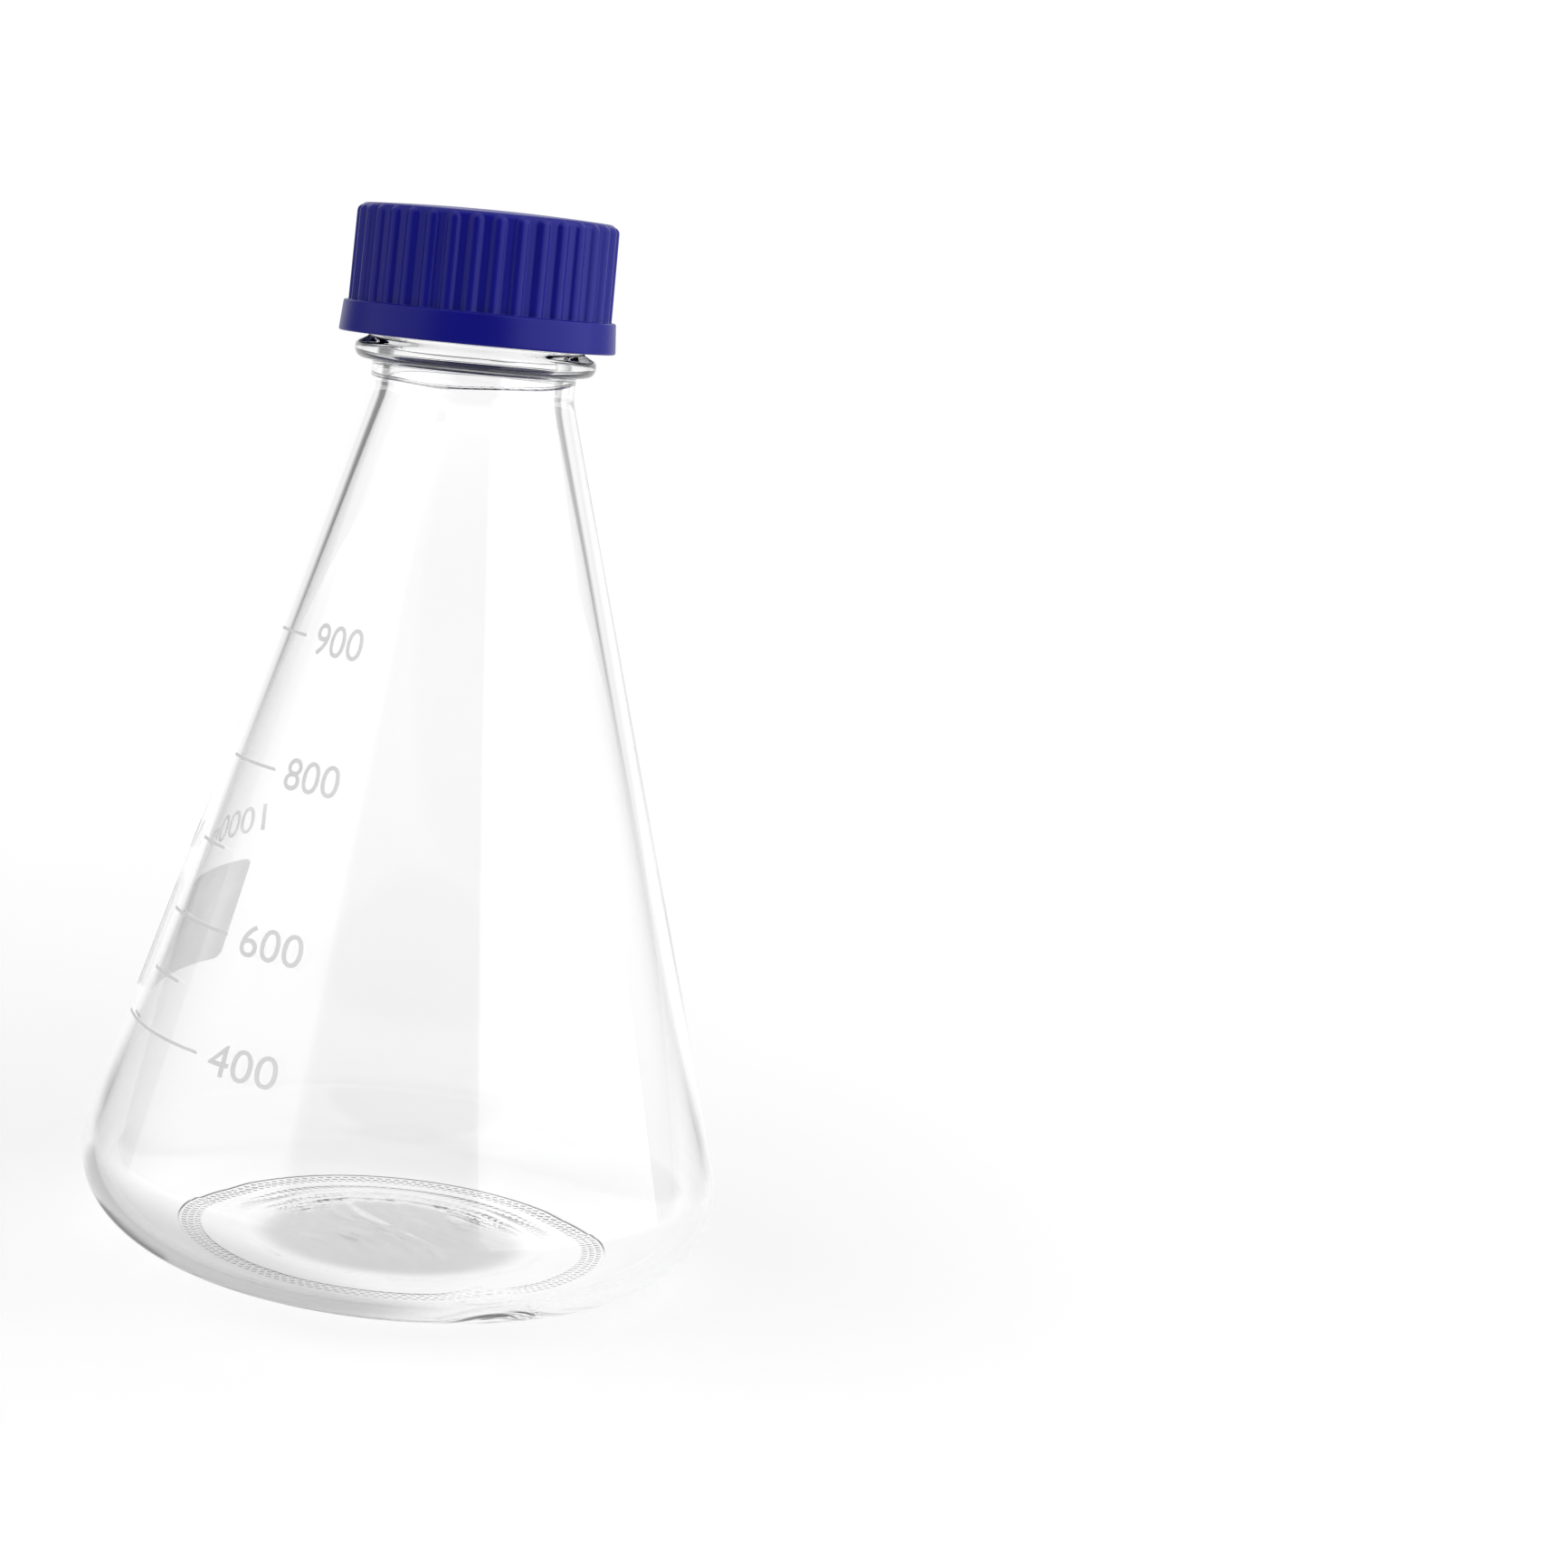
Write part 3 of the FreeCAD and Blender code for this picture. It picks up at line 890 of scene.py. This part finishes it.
ring_rows = rounded_profile([
    (RING_PLUG_RADIUS, RIM_HEIGHT, 0, 1),
    (RING_LIP_RADIUS, RIM_HEIGHT, RING_EDGE_ROUNDING, 1),
    (RING_LIP_RADIUS, RING_TOP, RING_LIP_ROUNDING, 1),
    (RING_LIP_RADIUS - RING_LIP_WIDTH, RING_TOP, RING_DISH_ROUNDING, 0.5),
    (RING_BORE_RADIUS + RING_DISH_WIDTH, RING_TOP - RING_DISH, RING_SLOPE_ROUNDING, 0.8),
    (RING_BORE_RADIUS, RING_TOP - RING_DISH, RING_DISH_ROUNDING, 0.5),
    (RING_BORE_RADIUS, RING_FOOT, RING_EDGE_ROUNDING, 1),
    (RING_PLUG_RADIUS, RING_FOOT, RING_EDGE_ROUNDING, 0.5),
    (RING_PLUG_RADIUS, RIM_HEIGHT, 0, 0.2),
])[:-1]
ring = add_piece("pouring_lip", *turned_ring(ring_rows, RING_COLUMNS, barbs), "flask", ring_material)
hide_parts("pouring_ring")

# %% Seal
seal_low, seal_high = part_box("cap_seal")
SEAL_FOOT = seal_low.z / MM
SEAL_RADIUS = seal_high.x / MM
SEAL_ROUNDING = 0.3
SEAL_GROOVE = 0.25
SEAL_GROOVE_SLOPE = 1.5
SEAL_GROOVE_EDGE = 0.2
SEAL_GROOVE_ROUNDING = 0.2
SEAL_SLOPE_ROUNDING = 0.4

seal_rows = rounded_profile([
    (MIDDLE_RADIUS, SEAL_FOOT, 0, 1),
    (RING_BORE_RADIUS, SEAL_FOOT, SEAL_GROOVE_ROUNDING, 4),
    (RING_BORE_RADIUS + SEAL_GROOVE_SLOPE, SEAL_FOOT + SEAL_GROOVE, SEAL_SLOPE_ROUNDING, 1),
    (RING_LIP_RADIUS - SEAL_GROOVE_EDGE, SEAL_FOOT + SEAL_GROOVE, SEAL_GROOVE_ROUNDING, 1),
    (RING_LIP_RADIUS + SEAL_GROOVE_EDGE, SEAL_FOOT, SEAL_GROOVE_ROUNDING, 1),
    (SEAL_RADIUS, SEAL_FOOT, SEAL_ROUNDING, 1),
    (SEAL_RADIUS, CEILING, SEAL_ROUNDING, 1),
    (MIDDLE_RADIUS, CEILING, 0, 4),
])
seal = add_piece("soft_seal", *closed_skin([
    pole(SEAL_FOOT),
    turned(seal_rows, RING_COLUMNS, plain),
    pole(CEILING),
]), "seal", seal_material)
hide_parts("cap_seal")

# %% [markdown]
# ## Fired enamel
#
# The scale, the capacity and the write-on panel are screen printed in white enamel and fired into the
# glass. They could be painted by a mask in the glass material, but an opaque print stops light that the
# glass lets through. So the print is a set of very thin closed meshes, half sunk in the cone, and flat
# shading keeps every stroke even.

# %% Enamel material
ENAMEL_SKIN = {"Color": (0.85, 0.85, 0.85, 1), "Roughness": 0.5, "Clouding": 0.2, "Grain per metre": 4000}


def fired_enamel():
    """A chalky enamel: the grain group stands for its thin spots."""
    material, tree, enamel = new_material("fired_enamel")
    place_grain(tree, enamel, ENAMEL_SKIN)
    return material


enamel_material = fired_enamel()
print(enamel_material.name, "with", len(enamel_material.node_tree.nodes), "nodes")

# %% The cone that carries the print
ENAMEL_THICKNESS = 0.14
ENAMEL_PROUD = 0.07
cone_foot = heel_outside[-1]
CONE_SLOPE = (SHOULDER[0] - cone_foot[0]) / (SHOULDER[1] - cone_foot[1])
CONE_TILT = -math.atan(CONE_SLOPE)


def cone_radius(height):
    """The cone's radius at a height."""
    return SHOULDER[0] + (height - SHOULDER[1]) * CONE_SLOPE


def on_cone(across, up, angle, height):
    """Wraps flat points onto the cone round an anchor, in millimetres across and up the slope.

    Up the slope the height grows by the cosine of the cone's tilt, and across it the angle grows by the
    distance over the radius at the anchor. The points stand proud of the glass along the cone's normal.
    """
    level = height + up * math.cos(CONE_TILT)
    radius = cone_radius(level) + ENAMEL_PROUD * math.cos(CONE_TILT)
    level = level + ENAMEL_PROUD * math.sin(CONE_TILT)
    turn = angle + across / cone_radius(height)
    return np.stack([radius * np.sin(turn), -radius * np.cos(turn), level], axis=-1)


print("cone tilted", round(math.degrees(CONE_TILT), 2), "degrees")

# %% [markdown]
# ## The scale, the capacity and the panel
#
# On the real flask each line marks where the inside holds its number of millilitres. The lines could be
# worked out from the volume, but glass that was blown never agrees with a drawing, so here they stand
# where the photograph shows them. Only every second line and the last one are numbered, to the right of
# the line. The capacity and a panel to write on are round the left side, where they show through the
# flask.

# %% Flat shapes
CAPACITY_SIZE = (36, 6.4)
CAPACITY_SLANT = 0.25
PANEL_SIZE = (38, 23.5)
PANEL_ROUNDING = 1.6
PANEL_GRID = (48, 30)


def panel(width, height, rounding, columns, rows):
    """A flat rounded panel: row by row its half width draws in by the circle of its corners."""
    up = np.linspace(-height / 2, height / 2, rows)[:, None]
    into_corner = np.clip(np.abs(up) - (height / 2 - rounding), 0, rounding)
    half = width / 2 - rounding + np.sqrt(rounding ** 2 - into_corner ** 2)
    across = half * np.linspace(-1, 1, columns)
    faces = grid_quads(np.arange(across.size).reshape(across.shape))
    return across.ravel(), np.broadcast_to(up, across.shape).ravel(), faces.tolist()


def lettering(text, width, height, slant=0.0):
    """The flat filled outline of a text in Blender's own font, scaled to a size and centred."""
    curve = bpy.data.curves.new(text, "FONT")
    curve.body = text
    curve.shear = slant
    holder = add_object(text, curve)
    flat = bpy.data.meshes.new_from_object(holder.evaluated_get(bpy.context.evaluated_depsgraph_get()))
    points = np.empty(len(flat.vertices) * 3)
    flat.vertices.foreach_get("co", points)
    across, up = points.reshape(-1, 3)[:, :2].T
    faces = [list(face.vertices) for face in flat.polygons]
    bpy.data.objects.remove(holder)
    bpy.data.curves.remove(curve)
    bpy.data.meshes.remove(flat)
    across = (across - (across.min() + across.max()) / 2) * width / np.ptp(across)
    up = (up - (up.min() + up.max()) / 2) * height / np.ptp(up)
    return across, up, faces


capacity = lettering("1000ml", *CAPACITY_SIZE, CAPACITY_SLANT)
write_on = panel(*PANEL_SIZE, PANEL_ROUNDING, *PANEL_GRID)
print("flat faces:", len(capacity[2]), "of the capacity and", len(write_on[2]), "of the panel")

# %% Printed marks
LINE_WIDTH = 0.6
LINE_GRID = (24, 5)
NUMERAL_HEIGHT = 6.2
SCALE = {
    400: {"height": 46.9, "ends": (-80, -44.9), "numeral": (16.1, -33.2)},
    500: {"height": 57.5, "ends": (-72, -58)},
    600: {"height": 69.0, "ends": (-74, -46.4), "numeral": (14.4, -33.6)},
    700: {"height": 83.5, "ends": (-72, -58)},
    800: {"height": 100.1, "ends": (-72, -47.7), "numeral": (12.6, -34.5)},
    900: {"height": 125.3, "ends": (-72, -53.2), "numeral": (11.4, -37.9)},
}
LEFT_SIDE = -107
CAPACITY_HEIGHT = 82.0
PANEL_HEIGHT = 61.5


def printed(name, marks):
    """One enamel piece of several flat marks, each (shape, angle in degrees, height) on the cone."""
    points, faces, first = [], [], 0
    for (across, up, mark_faces), angle, height in marks:
        points.append(on_cone(across, up, math.radians(angle), height))
        faces += [[first + corner for corner in face] for face in mark_faces]
        first += len(across)
    piece = add_piece(name, np.concatenate(points), faces, "flask", enamel_material)
    piece.data.shade_flat()
    thickness = piece.modifiers.new("thickness", "SOLIDIFY")
    thickness.thickness = ENAMEL_THICKNESS * MM
    thickness.offset = -1


def scale_marks():
    """A line for each height of the scale, and a numeral of a width and angle beside the numbered ones."""
    marks = []
    for number, mark in SCALE.items():
        height, (start, end) = mark["height"], mark["ends"]
        length = math.radians(end - start) * cone_radius(height)
        marks.append((panel(length, LINE_WIDTH, LINE_WIDTH / 2, *LINE_GRID), (start + end) / 2, height))
        if "numeral" in mark:
            width, angle = mark["numeral"]
            marks.append((lettering(str(number), width, NUMERAL_HEIGHT), angle, height))
    return marks


printed("scale_print", scale_marks())
printed("capacity_print", [(capacity, LEFT_SIDE, CAPACITY_HEIGHT)])
printed("panel_print", [(write_on, LEFT_SIDE, PANEL_HEIGHT)])

# %% [markdown]
# ## The tent
#
# Product photographs of glass are taken in a white tent with an opening for the camera. The dark opening,
# mirrored in the glass, shows as a grey band down the middle of the flask, and the walls make it white on
# both sides. The walls could be lamps, but then they would add light, so here they are a colour that
# mirrored and bent rays meet. Rays straight from the camera see plain white, and light that a matt
# surface has scattered meets a grey room. Neither the walls nor the paper's glow are sampled as lamps,
# because a sampled ray hasn't yet been counted as scattered.

# %% Tent walls, by angles in degrees from the camera's side
OPENING_LEFT = 40
OPENING_RIGHT = 30
OPENING_EDGE = 4
LEFT_FADE = (125, 80)
RIGHT_FADE = (150, 110)
BACKDROP_EDGE = (136, 146)


def tent_walls():
    """A node group: how white the tent is, by the angle from the camera's side to a direction or place.

    It is 0 in the opening, 1 beside it, fades along the side walls and is 1 again on the backdrop.
    """
    group, given, made = new_group("tent_walls", {"Vector": "Vector"}, {"Mask": "Float"})
    split = add_node(group, "ShaderNodeSeparateXYZ", {"Vector": given.outputs["Vector"]})
    forward = math_node(group, "MULTIPLY", split.outputs["Y"], -1)
    sides = []
    for direction, edge, fade in ((-1, OPENING_LEFT, LEFT_FADE), (1, OPENING_RIGHT, RIGHT_FADE)):
        outward = math_node(group, "MULTIPLY", split.outputs["X"], direction)
        turn = math_node(group, "DEGREES", math_node(group, "ARCTAN2", outward, forward))
        beside = soft_step(group, turn, (edge - OPENING_EDGE, edge + OPENING_EDGE))
        wall = math_node(group, "MULTIPLY", beside, soft_step(group, turn, fade))
        sides.append(math_node(group, "MAXIMUM", wall, soft_step(group, turn, BACKDROP_EDGE)))
    feed(made, {"Mask": math_node(group, "MAXIMUM", *sides)})
    return group


tent_group = tent_walls()
print(tent_group.name, "with", len(tent_group.nodes), "nodes")

# %% World
ROOM_GREY = 0.22
NONE_YET = 0.5


def not_scattered(tree):
    """The Light Path node, and 1 for every ray but those that a matt surface has scattered.

    A count of bounces that is still zero lies below one half.
    """
    path = add_node(tree, "ShaderNodeLightPath")
    return path, math_node(tree, "LESS_THAN", path.outputs["Diffuse Depth"], NONE_YET)


def between(tree, share, ends):
    """A value that goes evenly from the first end to the second as a share goes from 0 to 1."""
    return ramp(tree, share, (0, 1), ends, "LINEAR")


world = bpy.data.worlds.new("studio")
world.use_nodes = True
world.cycles.sampling_method = "NONE"
bpy.context.scene.world = world
room = world.node_tree
direction = add_node(room, "ShaderNodeTexCoord").outputs["Generated"]
walls = add_node(room, "ShaderNodeGroup", {"Vector": direction}, node_tree=tent_group)
path, clear = not_scattered(room)
seen = math_node(room, "MAXIMUM", walls.outputs["Mask"], path.outputs["Is Camera Ray"])
whiteness = between(room, math_node(room, "MULTIPLY", seen, clear), (ROOM_GREY, 1))
feed(room.nodes["Background"], {"Color": WHITE, "Strength": whiteness})
print(world.name, "with", len(room.nodes), "nodes")

# %% [markdown]
# ## The paper and its painted shade
#
# The flask stands on white paper. For rays that the glass has bent, the paper is painted darker: a painted
# shadow at the front left, which the heel bends into a dark line that draws the glass against the white,
# painted shade under the pushed-up disc, and painted shade along the tent's dim sides.

# %% Paper, in metres
PAPER_GREY = 0.82
PAPER_SKIN = {"Roughness": 0.9, "Specular IOR Level": 0.1, "Emission Color": WHITE}
GLOW_NEAR = 0.2
GLOW_FAR = 0.9
GLOW_REACH = 0.5
# Painted shade on the paper where the tent's walls are dim, for bent rays.
SIDE_PAINTED_SHADE_START = (0.15, 0.3)
SIDE_PAINTED_SHADE_LEVEL = 0.45
# A painted shadow on the paper at the front left of the flask, for bent rays.
PAINTED_SHADOW_SIDE = (-0.7, -0.71, 0)
PAINTED_SHADOW_START = (0.024, 0.042)
PAINTED_SHADOW_END = (0.3, 0.2)
PAINTED_SHADOW_LEVEL = 0.6
# Painted shade on the paper under the pushed-up disc, for bent rays.
DISC_PAINTED_SHADE_LEVEL = 0.8


def paper_shades(tree, place, away, bent):
    """How white the paper is: for bent rays, the product of the painted shade along the dim sides, a painted
    shadow and the painted shade under the disc.

    The painted shadow lies beyond a line close to the flask: a level of the place's dot product with its
    side.
    """
    walls = add_node(tree, "ShaderNodeGroup", {"Vector": place}, node_tree=tent_group)
    off_walls = between(tree, walls.outputs["Mask"], (1, 0))
    sides = math_node(tree, "MULTIPLY", off_walls, soft_step(tree, away, SIDE_PAINTED_SHADE_START))
    beside = add_node(tree, "ShaderNodeVectorMath", {0: place, 1: PAINTED_SHADOW_SIDE}, operation="DOT_PRODUCT")
    past_line = soft_step(tree, beside.outputs["Value"], PAINTED_SHADOW_START)
    painted_shadow = math_node(tree, "MULTIPLY", past_line, soft_step(tree, away, PAINTED_SHADOW_END))
    # Painted shade under the disc.
    disc = soft_step(tree, away, DISC_EDGE[::-1])
    white = 1
    # Each painted shade darkens the paper for bent rays only.
    for painted_shade_mask, grey in ((sides, SIDE_PAINTED_SHADE_LEVEL), (painted_shadow, PAINTED_SHADOW_LEVEL), (disc, DISC_PAINTED_SHADE_LEVEL)):
        dim = between(tree, math_node(tree, "MULTIPLY", painted_shade_mask, bent), (1, grey))
        white = math_node(tree, "MULTIPLY", white, dim)
    return white


def pale_sweep():
    """Matt white paper with a small glow for straight rays, which lifts it to white outside the shadow.

    The lamps light the paper less with distance, so the glow grows as (distance / (distance + reach))^2.
    """
    material, tree, paper = new_material("pale_sweep")
    material.cycles.emission_sampling = "NONE"
    feed(paper, PAPER_SKIN)
    place = add_node(tree, "ShaderNodeTexCoord").outputs["Object"]
    away = length_of(tree, place)
    path, clear = not_scattered(tree)
    passed = math_node(tree, "GREATER_THAN", path.outputs["Ray Depth"], NONE_YET)
    # For bent rays the paper's colour and glow are painted darker: painted shade at the dim sides and under
    # the disc, and a painted shadow at the front left.
    white = paper_shades(tree, place, away, math_node(tree, "MULTIPLY", passed, clear))
    share = math_node(tree, "DIVIDE", away, math_node(tree, "ADD", away, GLOW_REACH))
    glow = math_node(tree, "MULTIPLY_ADD", math_node(tree, "MULTIPLY", share, share), GLOW_FAR, GLOW_NEAR)
    glow = math_node(tree, "MULTIPLY", math_node(tree, "MULTIPLY", glow, white), clear)
    feed(paper, {"Base Color": math_node(tree, "MULTIPLY", white, PAPER_GREY), "Emission Strength": glow})
    return material


paper_material = pale_sweep()
print(paper_material.name, "with", len(paper_material.node_tree.nodes), "nodes")

# %% Floor
FLOOR_HALF = 4.0
FLOOR_DROP = 0.2 * MM

floor_mesh = bpy.data.meshes.new("floor")
corners = [(-1, -1), (1, -1), (1, 1), (-1, 1)]
floor_mesh.from_pydata([(x * FLOOR_HALF, y * FLOOR_HALF, -FLOOR_DROP) for x, y in corners], [], [range(4)])
floor_mesh.materials.append(paper_material)
floor = add_object("floor", floor_mesh)
print("floor", 2 * FLOOR_HALF, "m wide")

# %% [markdown]
# ## Softboxes
#
# The cap and the print need lamps. A strong softbox stands on the right, a weak one on the left and
# another overhead, so the ribs have a light and a dark side. Small lamps would leave hard spots, so these
# are wide enough to reach from the tent's opening to its sides. They are hidden from rays that the glass
# has bent, which would show their frames.

# %% Lamps, by azimuth, elevation, distance, width, height and watts
LAMPS = {
    "softbox_right": (68, 24, 1.1, 1.75, 1.7, 16.5),
    "softbox_left": (-75, 24, 1.1, 1.5, 1.7, 5.3),
    "softbox_top": (0, 80, 1.3, 1.4, 1.4, 6.0),
}
LAMP_AIM = Vector((0, 0, 0.12))
LIGHT_BOUNCES = 28


def add_softbox(name, azimuth, elevation, distance, width, height, watts):
    """An area lamp that faces the flask from an azimuth, counted from the camera's side to the right."""
    lamp = bpy.data.lights.new(name, "AREA")
    lamp.shape = "RECTANGLE"
    lamp.size = width
    lamp.size_y = height
    lamp.energy = watts
    holder = add_object(name, lamp)
    turn, lift = math.radians(azimuth), math.radians(elevation)
    away = Vector((math.sin(turn) * math.cos(lift), -math.cos(turn) * math.cos(lift), math.sin(lift)))
    holder.location = LAMP_AIM + away * distance
    holder.rotation_euler = (-away).to_track_quat("-Z", "Y").to_euler()
    holder.visible_camera = False
    holder.visible_transmission = False


for name, setting in LAMPS.items():
    add_softbox(name, *setting)
studio = bpy.context.scene
studio.view_settings.view_transform = "Standard"
studio.cycles.max_bounces = LIGHT_BOUNCES
studio.cycles.glossy_bounces = LIGHT_BOUNCES
studio.cycles.transmission_bounces = LIGHT_BOUNCES
print("lamps", list(LAMPS))
